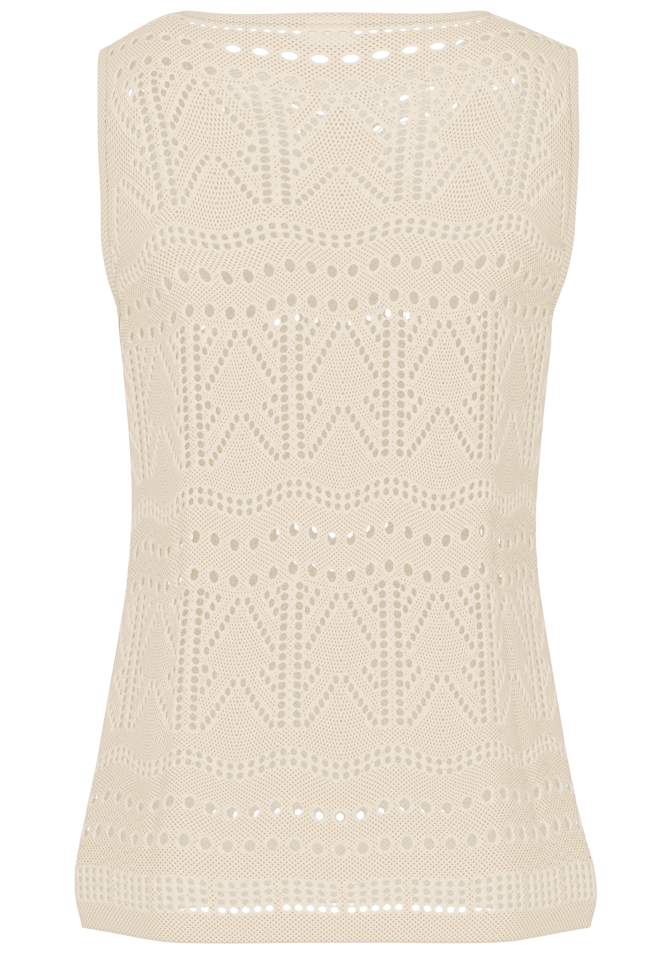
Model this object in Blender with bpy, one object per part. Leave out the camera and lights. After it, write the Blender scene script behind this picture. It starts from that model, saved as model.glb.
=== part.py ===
"""Sleeveless boat-neck top in pointelle knit, filled out as it is worn, with nobody in it.

Two knitted panels, back and front, hang from the shoulders. Each is one wall of cloth, pierced by
rows of large eyelets. A narrow band finishes the neck and each armhole, and a blank label sits
inside the back of the neck.

Frame: +Z is up, the back of the top faces -Y, and the origin lies between the shoulders, at the
height where a wearer carries the cloth. Lengths are in millimetres until the meshes are written.

A panel is drawn flat, on a chart. Across it runs u, counted in repeats of the leaf lace from the
middle of the panel, and up it runs h, the height of a knitted course at the middle of the panel.
The function cloth() lays the chart on the body.
"""
from collections import namedtuple

import bmesh
import bpy
import numpy as np
from mathutils import Vector
from mathutils.geometry import delaunay_2d_cdt

METRE = 0.001          # one millimetre, in metres
GAP = 0.3              # clearance between pieces at a seam
SEAM_DEPTH = 0.2       # how near the back and the front come to the line of their seam
WALL = 2.0             # thickness of the knitted panels
BAND_WALL = 2.6        # the bands are knitted double
LABEL_WALL = 0.7
REPEAT = 64.0          # width of one repeat of the lace, lying slack
HALF_REPEATS = 3.0     # repeats from the middle of a panel to its side seam

# Horizontal slices through the filled-out top, from the hem up. half is the half width, mid the
# place of its middle, back and front the depths. A slice is a flat face, which ends at corner (a
# share of the way from the middle to the side), then a flank that leans by flank degrees. soft is
# the share of the way that the corner takes to turn, and side what the turn at the side seam takes.
Slice = namedtuple("Slice", "z half mid back front corner soft flank side")
SLICES = [
    Slice(-582, 164.5, -0.5, 83, 84, 0.52, 0.11, 50, 0.07),
    Slice(-565, 168.5, -0.5, 86, 87, 0.52, 0.11, 50, 0.07),
    Slice(-545, 168.0, -1.5, 87, 88, 0.52, 0.10, 50, 0.07),
    Slice(-517, 161.5, -2.8, 87, 89, 0.52, 0.09, 52, 0.07),
    Slice(-473, 152.0, -2.9, 88, 90, 0.52, 0.08, 55, 0.07),
    Slice(-430, 144.0, -2.9, 88, 90, 0.51, 0.08, 58, 0.08),
    Slice(-381, 136.0, -2.8, 89, 90, 0.51, 0.08, 62, 0.09),
    Slice(-333, 131.2, -2.5, 90, 90, 0.51, 0.08, 64, 0.10),
    Slice(-300, 130.6, -1.6, 90, 91, 0.51, 0.08, 64, 0.10),
    Slice(-266, 132.5, -1.1, 91, 94, 0.50, 0.09, 62, 0.12),
    Slice(-207, 138.7, -1.0, 92, 101, 0.50, 0.10, 58, 0.16),
    Slice(-176, 142.7, -0.6, 92, 102, 0.51, 0.12, 56, 0.20),
    Slice(-160, 151.0, -0.2, 92, 101, 0.52, 0.14, 56, 0.20),
    Slice(-142, 159.0, 0.2, 93, 98, 0.54, 0.16, 55, 0.18),
    Slice(-113, 166.0, 1.0, 93, 92, 0.57, 0.18, 54, 0.14),
    Slice(-82, 170.0, 1.0, 91, 86, 0.58, 0.20, 52, 0.12),
    Slice(-45, 172.0, 0.6, 84, 79, 0.60, 0.22, 50, 0.10),
    Slice(-20, 173.0, 0.6, 80, 75, 0.60, 0.22, 50, 0.10),
    Slice(20, 173.0, 0.6, 78, 73, 0.60, 0.22, 50, 0.10),
]
BOW = 12.0             # degrees that the flat face turns between its middle and its corner

# Knitted courses, from the hem up. swell lifts a course beside the middle and droop lowers it
# towards the side seam; tilt is how much higher it lies one repeat to the right; wave is half the
# height of its scallops. rate is the share of a slice that one repeat takes at the middle and end
# what it takes at the side. turn is how far the knit is turned to the right, and dip how much lower
# the course hangs at the middle of the front.
Course = namedtuple("Course", "h swell droop tilt wave rate end turn dip")
COURSES = [
    Course(-582, -2.0, -0.5, 0.0, 0.0, 0.3333, 0.3333, 4.0, 0),
    Course(-556, -1.0, -1.0, 0.2, 1.0, 0.3333, 0.3333, 4.2, 0),
    Course(-520, 4.5, -1.0, 0.8, 1.4, 0.3440, 0.3333, 4.5, 0),
    Course(-499, 6.0, -2.0, 1.4, 2.8, 0.3360, 0.3333, 5.0, 0),
    Course(-472, 1.5, -3.0, 1.4, 4.6, 0.3333, 0.3333, 5.3, 0),
    Course(-400, -2.5, -6.0, 1.2, 3.0, 0.3300, 0.3333, 5.5, 0),
    Course(-350, -3.5, -9.0, 1.2, 3.4, 0.3190, 0.3333, 5.5, 0),
    Course(-327, -3.5, -10.0, 1.2, 3.8, 0.3190, 0.3333, 5.5, 0),
    Course(-301, -3.5, -10.0, 1.4, 5.0, 0.3240, 0.3333, 5.5, 0),
    Course(-235, -4.5, -12.0, 2.2, 3.2, 0.3333, 0.3333, 4.8, 0),
    Course(-182, -2.1, -20.5, 3.1, 2.8, 0.3264, 0.3396, 4.4, 0),
    Course(-161, -0.6, -32.0, 3.1, 2.8, 0.3156, 0.3479, 3.5, 1),
    Course(-141, 4.9, -50.4, 2.9, 3.8, 0.3730, 0.2960, 2.3, 3),
    Course(-125, 7.3, -61.2, 2.2, 4.6, 0.3905, 0.2508, 2.2, 4),
    Course(-105, 15.6, -79.2, 2.1, 2.7, 0.3996, 0.2713, 2.0, 7),
    Course(-85, 16.4, -70.7, 1.5, 4.9, 0.4174, 0.2847, 2.2, 9),
    Course(-62, 22.9, -61.2, 1.2, 1.0, 0.4552, 0.2724, 1.5, 11),
    Course(-46, 22.0, -36.6, 1.1, 1.2, 0.4555, 0.2442, -0.9, 12),
    Course(-28, 21.1, -22.0, 1.2, 0.9, 0.4653, 0.2139, -1.7, 13),
]
SPREAD = 1.2           # repeats over which the rate changes from the middle to the side
QUARTER = 195.0        # usual length of a slice from the middle to the side seam
SWELL_END = 1.8        # where the swell of a course is complete, in repeats
DROOP_START = 1.0      # where its droop begins

# The shoulders. The right one falls from nearer the neck than the left one, and less steeply.
# SHOULDER_ROUND is how far below the shoulder line the cloth takes to turn upright.
Shoulder = namedtuple("Shoulder", "start slope")
LEFT_SHOULDER = Shoulder(110.0, 0.56)
RIGHT_SHOULDER = Shoulder(97.0, 0.42)
HEM = -580.0
TOP = 1.5              # height of the back neck edge
SHOULDER_TOP = 10.3
SHOULDER_EASE = 5.0
SHOULDER_ROUND = 45.0
NECK_RISE = 8.7
NECK_RISE_HALF = 100.0
NECK_HALF = 1.18       # half width of the neck opening, in repeats
NECK_DEPTH = 17.6      # how far the back neck edge lies below the shoulder line
FRONT_NECK_DROP = 13.0
NECK_POWER = 2.8
NECK_BAND = 10.5       # width of the neck band
NECK_BAND_END = 0.12   # how far its seam runs past the neck edge along the shoulder, in repeats
NECK_SQUARENESS = 6.0
NECK_STEPS = 30

# The armholes, measured along the cloth from the line of the side seam.
ARM_INSET = 36.5
ARM_LEVEL = -92.0      # below this height the armhole curves out to the side seam
ARM_BOTTOM = -174.0
ARM_POWER = 2.2
ARM_BAND = 9.5
ARM_STEPS = 18
SHOULDER_STEPS = 7     # points along the shoulder, between the two bands

# Large eyelets. A hole has six corners: four at its ends and two, further out, at mid height.
EYELET_END = 2.0       # half width at the ends
EYELET_MIDDLE = 3.3    # half width at mid height
EYELET_HALF = 4.0      # half height
EYELET_STEP = 0.2      # spacing along a course, in repeats
EyeletRow = namedtuple("EyeletRow", "h last pairs")
EYELET_ROWS = [        # last is the place of the last hole, in steps; pairs keeps those by a leaf
    EyeletRow(-30.0, 8.5, False),
    EyeletRow(-46.5, 8.5, False),
    EyeletRow(-161.0, 11.5, False),
    EyeletRow(-182.0, 12.5, True),
    EyeletRow(-326.0, 13.5, False),
    EyeletRow(-349.0, 12.5, True),
    EyeletRow(-498.5, 12.0, False),
    EyeletRow(-520.5, 11.0, True),
]
TOP_EYELET_WIDEN = 1.45  # the two rows below the neck are stretched wide,
TOP_EYELET_HEIGHT = 0.62  # and are shallower

InnerRow = namedtuple("InnerRow", "h reach step")
INNER_ROWS = [         # points between the rows of eyelets, so that the wall follows the body
    InnerRow(-570, 2.67, 0.25),
    InnerRow(-550, 2.67, 0.25),
    InnerRow(-530, 2.67, 0.25),
    InnerRow(-506, 2.67, 0.25),
    InnerRow(-478, 2.67, 0.25),
    InnerRow(-455, 2.67, 0.25),
    InnerRow(-425, 2.67, 0.25),
    InnerRow(-390, 2.67, 0.25),
    InnerRow(-363, 2.67, 0.25),
    InnerRow(-338, 2.67, 0.25),
    InnerRow(-310, 2.67, 0.25),
    InnerRow(-285, 2.67, 0.25),
    InnerRow(-255, 2.67, 0.25),
    InnerRow(-225, 2.67, 0.25),
    InnerRow(-196, 2.67, 0.25),
    InnerRow(-172, 2.67, 0.25),
    InnerRow(-146, 2.33, 0.25),
    InnerRow(-125, 2.33, 0.25),
    InnerRow(-105, 2.00, 0.25),
    InnerRow(-76, 1.83, 0.25),
    InnerRow(-61, 1.83, 0.25),
    InnerRow(-22, 1.83, 0.12),
    InnerRow(-17, 1.83, 0.12),
    InnerRow(-12, 1.83, 0.12),
    InnerRow(-5, 1.83, 0.12),
]

# Soft creases, where a flank folds in beside the flat face: u at the upper and the lower end.
Crease = namedtuple("Crease", "front upper lower u_upper u_lower depth width")
CREASES = [
    Crease(False, -285, -552, -1.72, -1.78, 2.4, 0.085),
    Crease(False, -300, -545, 1.74, 2.20, 2.2, 0.095),
    Crease(True, -270, -530, -1.80, -2.05, 2.0, 0.10),
    Crease(True, -315, -556, 1.70, 1.76, 2.5, 0.085),
]
CREASE_ENDS = 40.0     # length over which a crease fades

LABEL_MIDDLE = -3.0
LABEL_WIDTH = 28.0
LABEL_TOP = -4.0
LABEL_BOTTOM = -22.0

Finish = namedtuple("Finish", "color roughness")
KNIT = Finish((0.84, 0.73, 0.58, 1.0), 0.78)
RIB = Finish((0.83, 0.72, 0.57, 1.0), 0.78)
WOVEN = Finish((0.90, 0.87, 0.80, 1.0), 0.6)


# ---- The body that the cloth follows -------------------------------------------------------------

def through(rows, name, at):
    """The named column of a table, as a smooth curve through its rows, read at some heights."""
    heights = np.array([row[0] for row in rows], float)
    values = np.array([getattr(row, name) for row in rows], float)
    slopes = np.gradient(values, heights)
    low = np.clip(np.searchsorted(heights, at) - 1, 0, len(rows) - 2)
    span = heights[low + 1] - heights[low]
    f = np.clip((at - heights[low]) / span, 0.0, 1.0)
    start = values[low] * (1 + 2 * f) * (1 - f) ** 2 + slopes[low] * span * f * (1 - f) ** 2
    end = values[low + 1] * (3 - 2 * f) * f ** 2 - slopes[low + 1] * span * (1 - f) * f ** 2
    return start + end


def ease(f):
    """From 0 to 1, with level ends."""
    f = np.clip(f, 0.0, 1.0)
    return f * f * (3 - 2 * f)


SLICE_STEPS = 160
SLICE_HEIGHTS = np.arange(-584.0, 24.0, 4.0)


def slice_curves():
    """x and depth, each as a share, along a quarter of every slice: one row for each height."""
    share = np.linspace(0.0, 1.0, SLICE_STEPS + 1)
    middle = (share[1:] + share[:-1]) / 2
    corner = through(SLICES, "corner", SLICE_HEIGHTS)[:, None]
    soft = through(SLICES, "soft", SLICE_HEIGHTS)[:, None]
    flank = through(SLICES, "flank", SLICE_HEIGHTS)[:, None]
    side = through(SLICES, "side", SLICE_HEIGHTS)[:, None]
    angle = BOW * np.minimum(middle / corner, 1.0)
    angle = angle + (flank - BOW) * ease((middle - corner + soft) / (2 * soft))
    angle = angle + (90.0 - flank) * ease((middle - 1 + side) / side)
    across = np.cumsum(np.cos(np.radians(angle)), axis=1)
    inward = np.cumsum(np.sin(np.radians(angle)), axis=1)
    zero = np.zeros((len(SLICE_HEIGHTS), 1))
    across = np.hstack([zero, across / across[:, -1:]])
    inward = np.hstack([zero, inward / inward[:, -1:]])
    return across, 1.0 - inward


ACROSS, DEPTH = slice_curves()


def read_slice(grid, share, z):
    """A value of a slice grid between its nodes. Past the side seam it is mirrored."""
    row = np.clip((z - SLICE_HEIGHTS[0]) / (SLICE_HEIGHTS[1] - SLICE_HEIGHTS[0]), 0,
                  len(SLICE_HEIGHTS) - 1.001)
    column = np.clip(1 - np.abs(1 - np.abs(share)), 0, 1) * (SLICE_STEPS - 0.001)
    i = row.astype(int)
    j = column.astype(int)
    p = row - i
    q = column - j
    lower = grid[i, j] * (1 - q) + grid[i, j + 1] * q
    upper = grid[i + 1, j] * (1 - q) + grid[i + 1, j + 1] * q
    return lower * (1 - p) + upper * p


def across_body(share, z):
    """x at a share of the way from the middle of a panel to its side seam."""
    return np.sign(share) * read_slice(ACROSS, share, z) * through(SLICES, "half", z)


def shoulder_line(x):
    """Height of the shoulder line, which the neck opening interrupts."""
    start = np.where(x > 0, RIGHT_SHOULDER.start, LEFT_SHOULDER.start)
    slope = np.where(x > 0, RIGHT_SHOULDER.slope, LEFT_SHOULDER.slope)
    x = np.abs(x)
    fall = SHOULDER_EASE * np.log1p(np.exp((x - start) / SHOULDER_EASE))
    rise = NECK_RISE * np.maximum(1 - (x / NECK_RISE_HALF) ** 2, 0.0)
    return SHOULDER_TOP + rise - slope * fall


def on_body(share, z, front):
    """The point of the filled-out form at a share of a slice and a height."""
    x = across_body(share, z)
    below = np.clip((shoulder_line(x) - z) / SHOULDER_ROUND, 0.0, 1.0)
    depth = read_slice(DEPTH, share, z) * through(SLICES, "front" if front else "back", z)
    depth = np.maximum(depth * np.sqrt(1 - (1 - below) ** 2), SEAM_DEPTH)
    depth = depth * np.where(np.abs(share) > 1, -1, 1)
    return np.stack([x + through(SLICES, "mid", z), depth if front else -depth, z], axis=-1)


def laid(share, z, front, out):
    """Points of the body, moved out square to it."""
    aside = 0.004
    down = 0.05
    across = on_body(share + aside, z, front) - on_body(share - aside, z, front)
    upward = on_body(share, z, front) - on_body(share, z - down, front)
    normal = np.cross(upward, across) if front else np.cross(across, upward)
    normal = normal / np.linalg.norm(normal, axis=-1, keepdims=True)
    return on_body(share, z, front) + normal * np.asarray(out)[..., None]


# ---- The knit laid on the body -------------------------------------------------------------------

def share_of(u, h):
    """How far round a slice a repeat of the chart lies."""
    end = through(COURSES, "end", h)
    middle = (through(COURSES, "rate", h) - end) * SPREAD * np.tanh(u / SPREAD)
    turned = through(COURSES, "turn", h) * (1 - (u / HALF_REPEATS) ** 2) / QUARTER
    return end * u + middle + turned


def course_height(u, h, front):
    """Height on the body of a point of the chart, up to the last course of the table."""
    beside = np.maximum(np.abs(u) - DROOP_START, 0.0) / (HALF_REPEATS - DROOP_START)
    z = h + through(COURSES, "swell", h) * ease(np.abs(u) / SWELL_END)
    z = z + through(COURSES, "droop", h) * beside ** 2
    z = z + through(COURSES, "tilt", h) * u
    z = z - through(COURSES, "wave", h) * np.cos(2 * np.pi * u)
    if front:
        z = z - through(COURSES, "dip", h) * (1 - ease(np.abs(u) / 1.5))
    return z


def height_of(u, h, front):
    """Height on the body of any point of the chart: past the last course it climbs the shoulder."""
    last = COURSES[-1].h
    z = course_height(u, np.minimum(h, last), front)
    line = shoulder_line(across_body(share_of(u, h), z))
    climb = np.clip((h - last) / (TOP - last), 0.0, 1.0)
    neck = NECK_DEPTH + (FRONT_NECK_DROP if front else 0.0)
    edge = neck * np.maximum(1 - (np.abs(u) / NECK_HALF) ** NECK_POWER, 0.0)
    below = np.sqrt(np.maximum(line - z, 0.0)) * (1 - climb) + np.sqrt(edge) * climb
    return np.where(h > last, line - below ** 2, z)


def crease_depth(u, h, front):
    """How far the soft creases pull the cloth in."""
    pull = np.zeros_like(u)
    for crease in CREASES:
        if crease.front == front:
            f = np.clip((h - crease.upper) / (crease.lower - crease.upper), 0.0, 1.0)
            away = (u - crease.u_upper - f * (crease.u_lower - crease.u_upper)) / crease.width
            fade = ease((crease.upper - h) / CREASE_ENDS) * ease((h - crease.lower) / CREASE_ENDS)
            pull = pull + crease.depth * fade * np.exp(-away ** 2)
    return pull


def cloth(u, h, front, out=0.0):
    """Points of the chart on the body, moved out from the middle of the wall."""
    u = np.asarray(u, float)
    h = np.asarray(h, float)
    return laid(share_of(u, h), height_of(u, h, front), front, out - crease_depth(u, h, front))


def on_chart(share, z, front):
    """The point of the chart that lies at a share and a height of the body."""
    h = np.array(z, float)
    u = np.array(share, float) * HALF_REPEATS
    for _ in range(60):
        wider = (share_of(u + 0.01, h) - share_of(u - 0.01, h)) / 0.02
        u = u + 0.7 * (share - share_of(u, h)) / np.maximum(wider, 0.05)
        higher = (height_of(u, h, front) - height_of(u, h - 0.2, front)) / 0.2
        move = 0.7 * (z - height_of(u, h, front)) / np.maximum(higher, 0.02)
        h = np.minimum(h + np.clip(move, -8.0, 8.0), TOP)
    return u, h


# ---- Edges ---------------------------------------------------------------------------------------

def armhole(hand, inside, steps):
    """Shares and heights along the back or the front of an armhole, from shoulder to underarm.

    hand is -1 for the left armhole of the back view and 1 for the right one, and inside is the
    distance from the free edge of the band, into the panel."""
    inset = (ARM_INSET + inside) / QUARTER
    tip = across_body(np.array([hand * (1 - inset)]), np.array([0.0]))
    top = shoulder_line(tip)[0]
    bottom = ARM_BOTTOM - inside
    z = top + (bottom - top) * np.sin(np.linspace(0, np.pi / 2, steps + 1)) ** 2
    low = np.maximum((ARM_LEVEL - z) / (ARM_LEVEL - bottom), 0.0)
    share = 1 - inset * np.maximum(1 - low ** ARM_POWER, 0.0) ** (1 / ARM_POWER)
    return hand * share, z


def neck_seam(steps, below):
    """The seam between a panel and its neck band, on the chart, from left to right."""
    f = np.sin(np.linspace(-np.pi / 2, np.pi / 2, steps + 1))
    below = below * (1 + f ** 4)
    u = (NECK_HALF + NECK_BAND_END + below / REPEAT) * f
    h = TOP - (NECK_BAND + below) * (1 - np.abs(f) ** NECK_SQUARENESS) ** (1 / NECK_SQUARENESS)
    return u, h


def panel_outline(front):
    """The edge of a panel on the chart, anticlockwise from the left end of the hem."""
    side = 1 - GAP / 2 / QUARTER
    seam_top = TOP - GAP / 2
    rise = np.linspace(HEM, ARM_BOTTOM - ARM_BAND - GAP, 15)
    sides = []
    for hand in (-1, 1):
        share, z = armhole(hand, ARM_BAND + GAP, ARM_STEPS)
        share = np.clip(share, -side, side)
        share = np.concatenate([np.full(len(rise) - 1, hand * side), share[::-1]])
        u_side, h_side = on_chart(share, np.concatenate([rise[:-1], z[::-1]]), front)
        h_side[0] = HEM
        h_side[-1] = seam_top
        sides.append((u_side, h_side))
    (u_left, h_left), (u_right, h_right) = sides
    u_seam, h_seam = neck_seam(NECK_STEPS, GAP)
    h_seam[0] = seam_top
    h_seam[-1] = seam_top
    u_hem = np.linspace(u_left[0], u_right[0], 25)[1:-1]
    to_right = np.linspace(u_seam[-1], u_right[-1], SHOULDER_STEPS + 1)[1:-1]
    to_left = np.linspace(u_seam[0], u_left[-1], SHOULDER_STEPS + 1)[1:-1]
    level = np.full(len(to_right), seam_top)
    u = np.concatenate([u_left[:1], u_hem, u_right, to_right[::-1], u_seam[::-1], to_left,
                        u_left[:0:-1]])
    h = np.concatenate([[HEM], np.full(len(u_hem), HEM), h_right, level, h_seam[::-1], level,
                        h_left[:0:-1]])
    return u, h


# ---- Meshes --------------------------------------------------------------------------------------

def closed_mesh(outer, inner, triangles, flip):
    """A wall between two layers of the same points, closed all round its edges."""
    mesh = bmesh.new()
    skin = [mesh.verts.new(point) for point in outer * METRE]
    lining = [mesh.verts.new(point) for point in inner * METRE]
    rims = {}
    for a, b, c in triangles:
        if flip:
            a, c = c, a
        mesh.faces.new((skin[a], skin[b], skin[c]))
        mesh.faces.new((lining[c], lining[b], lining[a]))
        for start, end in ((a, b), (b, c), (c, a)):
            if rims.pop((end, start), None) is None:
                rims[(start, end)] = True
    for start, end in rims:
        mesh.faces.new((skin[end], skin[start], lining[start], lining[end]))
    bmesh.ops.triangulate(mesh, faces=[f for f in mesh.faces if len(f.verts) > 3])
    bmesh.ops.delete(mesh, geom=[v for v in mesh.verts if not v.link_faces], context="VERTS")
    return mesh


def add_piece(name, mesh, finish):
    """An object with its own material from a finished bmesh."""
    data = bpy.data.meshes.new(name)
    mesh.to_mesh(data)
    mesh.free()
    data.shade_smooth()
    data.set_sharp_from_angle(angle=0.7)
    material = bpy.data.materials.new(name)
    material.use_nodes = True
    shader = material.node_tree.nodes["Principled BSDF"]
    shader.inputs["Base Color"].default_value = finish.color
    shader.inputs["Roughness"].default_value = finish.roughness
    shader.inputs["Metallic"].default_value = 0.0
    data.materials.append(material)
    piece = bpy.data.objects.new(name, data)
    bpy.context.scene.collection.objects.link(piece)
    return piece


def eyelet_centres():
    """Every large eyelet of a panel: its place on the chart and its half sizes."""
    for row in EYELET_ROWS:
        at_neck = row.h > -60
        widen = TOP_EYELET_WIDEN if at_neck else 1.0
        height = TOP_EYELET_HEIGHT if at_neck else 1.0
        for place in np.arange(-row.last, row.last + 0.1):
            u = place * EYELET_STEP
            beside_leaf = abs(u - round(u)) < 0.25 and abs(u) < 2.15
            if beside_leaf or not row.pairs:
                narrow = widen if abs(u) < 1.0 else 1.0
                yield u, row.h, narrow, height


def panel_mesh(front):
    """One panel: its outline and eyelets joined by triangles on the chart, then laid on the body."""
    u, h = panel_outline(front)
    points = [Vector((a * REPEAT, b)) for a, b in zip(u, h)]
    edges = [(i, (i + 1) % len(points)) for i in range(len(points))]
    hole_of = [-1] * len(points)
    corners = ((EYELET_MIDDLE, 0), (EYELET_END, EYELET_HALF), (-EYELET_END, EYELET_HALF),
               (-EYELET_MIDDLE, 0), (-EYELET_END, -EYELET_HALF), (EYELET_END, -EYELET_HALF))
    for number, (middle, height, widen, flatten) in enumerate(eyelet_centres()):
        first = len(points)
        for x, y in corners:
            points.append(Vector((middle * REPEAT + x * widen, height + y * flatten)))
            hole_of.append(number)
        edges += [(first + k, first + (k + 1) % 6) for k in range(6)]
    outline = len(u)
    for level, reach, step in INNER_ROWS:
        for across in np.linspace(-reach, reach, 2 * int(round(reach / step)) + 1):
            points.append(Vector((across * REPEAT, level)))
            hole_of.append(-1)
    found = delaunay_2d_cdt(points, edges, [], 1, 1e-5)
    places, triangles, sources = found[0], found[2], found[3]
    hole = [max((hole_of[s] for s in source), default=-1) for source in sources]
    kept = [t for t in triangles if hole[t[0]] < 0 or len({hole[k] for k in t}) > 1]
    chart_u = np.array([p.x for p in places]) / REPEAT
    chart_h = np.array([p.y for p in places])
    print("panel", "front" if front else "back", "points", len(places), "outline", outline,
          "triangles", len(kept))
    outer = cloth(chart_u, chart_h, front, WALL / 2)
    inner = cloth(chart_u, chart_h, front, -WALL / 2)
    return closed_mesh(outer, inner, kept, front)


def strip_mesh(outer, inner, columns, closed, flip):
    """A band: rows of points, columns wide, joined into a wall."""
    rows = len(outer) // columns
    triangles = []
    for i in range(rows if closed else rows - 1):
        for j in range(columns - 1):
            a = i * columns + j
            b = (i + 1) % rows * columns + j
            triangles += [(a, b, b + 1), (a, b + 1, a + 1)]
    return closed_mesh(outer, inner, triangles, flip)


def neck_band_mesh(front):
    """The double band along a neck edge, from shoulder to shoulder."""
    columns = 3
    u_low, h_low = neck_seam(NECK_STEPS, 0.0)
    u_high = np.sin(np.linspace(-np.pi / 2, np.pi / 2, NECK_STEPS + 1)) * NECK_HALF
    f = np.linspace(0.0, 1.0, columns)
    u = (u_low[:, None] * (1 - f) + u_high[:, None] * f).ravel()
    h = (h_low[:, None] * (1 - f) + TOP * f).ravel()
    h = np.minimum(h, TOP - GAP / 2)
    outer = cloth(u, h, front, BAND_WALL / 2)
    inner = cloth(u, h, front, -BAND_WALL / 2)
    return strip_mesh(outer, inner, columns, False, front)


def arm_band_mesh(hand):
    """The double band round an armhole, hand -1 on the left of the back view and 1 on the right."""
    columns = 3
    layers = []
    for out in (BAND_WALL / 2, -BAND_WALL / 2):
        rings = []
        for f in np.linspace(0.0, 1.0, columns):
            share, z = armhole(hand, ARM_BAND * f, ARM_STEPS)
            back = laid(share, z, False, out)
            fore = laid(share, z, True, out)
            for end in (0, -1):
                back[end] = (back[end] + fore[end]) / 2
            rings.append(np.concatenate([back, fore[-2:0:-1]]))
        layers.append(np.stack(rings, axis=1).reshape(-1, 3))
    return strip_mesh(layers[0], layers[1], columns, True, hand > 0)


def label_mesh():
    """The blank label, laid inside the back neck from the points of the cloth."""
    columns = 5
    across = np.linspace(-0.5, 0.5, 7) * LABEL_WIDTH + LABEL_MIDDLE
    up = np.linspace(LABEL_BOTTOM, LABEL_TOP, columns)
    u = np.repeat(across / 93.0, columns)
    h = np.tile(up, len(across))
    near = BAND_WALL / 2 + GAP
    outer = cloth(u, h, False, -near)
    inner = cloth(u, h, False, -near - LABEL_WALL)
    return strip_mesh(outer, inner, columns, False, False)


def main():
    for item in list(bpy.data.objects):
        bpy.data.objects.remove(item)
    add_piece("back_panel", panel_mesh(False), KNIT)
    add_piece("front_panel", panel_mesh(True), KNIT)
    add_piece("back_neck_band", neck_band_mesh(False), RIB)
    add_piece("front_neck_band", neck_band_mesh(True), RIB)
    add_piece("left_armhole_band", arm_band_mesh(-1), RIB)
    add_piece("right_armhole_band", arm_band_mesh(1), RIB)
    add_piece("neck_label", label_mesh(), WOVEN)


main()
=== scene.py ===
# %% [markdown]
# # A sleeveless top in leaf lace
#
# The real thing is a top of soft cream yarn, knitted as two panels and finished with narrow bands
# at the neck and the armholes. It is seen from behind, filled out as if it were worn. Its looks
# come from three things: the eyelets, which are real holes; the raised courses between them; and
# the stitches, which are too many to model and are drawn by the material.
#
# The first cell loads the rigid frame. Everything that follows is cloth laid over that frame.

# %% Load the frame
import math
from collections import namedtuple
import bpy
import numpy as np
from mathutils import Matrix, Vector
from mathutils.geometry import delaunay_2d_cdt


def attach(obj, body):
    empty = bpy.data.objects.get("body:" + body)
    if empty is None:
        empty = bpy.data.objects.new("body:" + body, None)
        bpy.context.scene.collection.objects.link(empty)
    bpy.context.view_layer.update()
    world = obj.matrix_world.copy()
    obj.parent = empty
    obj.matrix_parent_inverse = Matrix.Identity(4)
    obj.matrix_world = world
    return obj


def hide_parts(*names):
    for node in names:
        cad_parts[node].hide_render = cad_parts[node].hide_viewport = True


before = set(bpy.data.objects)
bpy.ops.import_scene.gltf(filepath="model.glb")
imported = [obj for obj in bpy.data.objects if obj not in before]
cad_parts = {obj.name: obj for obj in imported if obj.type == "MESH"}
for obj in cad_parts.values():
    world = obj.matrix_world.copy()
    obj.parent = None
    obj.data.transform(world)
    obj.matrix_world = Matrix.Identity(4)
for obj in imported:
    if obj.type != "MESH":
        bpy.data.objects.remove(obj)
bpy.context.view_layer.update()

METRE = 0.001
print("frame nodes:", sorted(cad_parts))

# %% [markdown]
# ## The body under the cloth
#
# Nobody is inside the top, but the cloth keeps a body's form. That form could be sculpted. Here
# it is a table of horizontal slices, in millimetres, because a slice is easy to measure: how wide
# it is, how deep, and where its flat face turns into the flank. Two small helpers read a smooth
# curve through any column of the table.

# %% Slices of the body
Slice = namedtuple("Slice", "z half mid back front corner soft flank side")
SLICES = [
    Slice(-582, 164.5, -0.5, 83, 84, 0.52, 0.11, 50, 0.07),
    Slice(-565, 168.5, -0.5, 86, 87, 0.52, 0.11, 50, 0.07),
    Slice(-545, 168.0, -1.5, 87, 88, 0.52, 0.10, 50, 0.07),
    Slice(-517, 161.5, -2.8, 87, 89, 0.52, 0.09, 52, 0.07),
    Slice(-473, 152.0, -2.9, 88, 90, 0.52, 0.08, 55, 0.07),
    Slice(-430, 144.0, -2.9, 88, 90, 0.51, 0.08, 58, 0.08),
    Slice(-381, 136.0, -2.8, 89, 90, 0.51, 0.08, 62, 0.09),
    Slice(-333, 131.2, -2.5, 90, 90, 0.51, 0.08, 64, 0.10),
    Slice(-300, 130.6, -1.6, 90, 91, 0.51, 0.08, 64, 0.10),
    Slice(-266, 132.5, -1.1, 91, 94, 0.50, 0.09, 62, 0.12),
    Slice(-207, 138.7, -1.0, 92, 101, 0.50, 0.10, 58, 0.16),
    Slice(-176, 142.7, -0.6, 92, 102, 0.51, 0.12, 56, 0.20),
    Slice(-160, 151.0, -0.2, 92, 101, 0.52, 0.14, 56, 0.20),
    Slice(-142, 159.0, 0.2, 93, 98, 0.54, 0.16, 55, 0.18),
    Slice(-113, 166.0, 1.0, 93, 92, 0.57, 0.18, 54, 0.14),
    Slice(-82, 170.0, 1.0, 91, 86, 0.58, 0.20, 52, 0.12),
    Slice(-45, 172.0, 0.6, 84, 79, 0.60, 0.22, 50, 0.10),
    Slice(-20, 173.0, 0.6, 80, 75, 0.60, 0.22, 50, 0.10),
    Slice(20, 173.0, 0.6, 78, 73, 0.60, 0.22, 50, 0.10),
]
BOW = 12.0             # degrees that the flat face turns between its middle and its corner
QUARTER = 195.0        # usual length of a slice from the middle to the side seam


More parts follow.
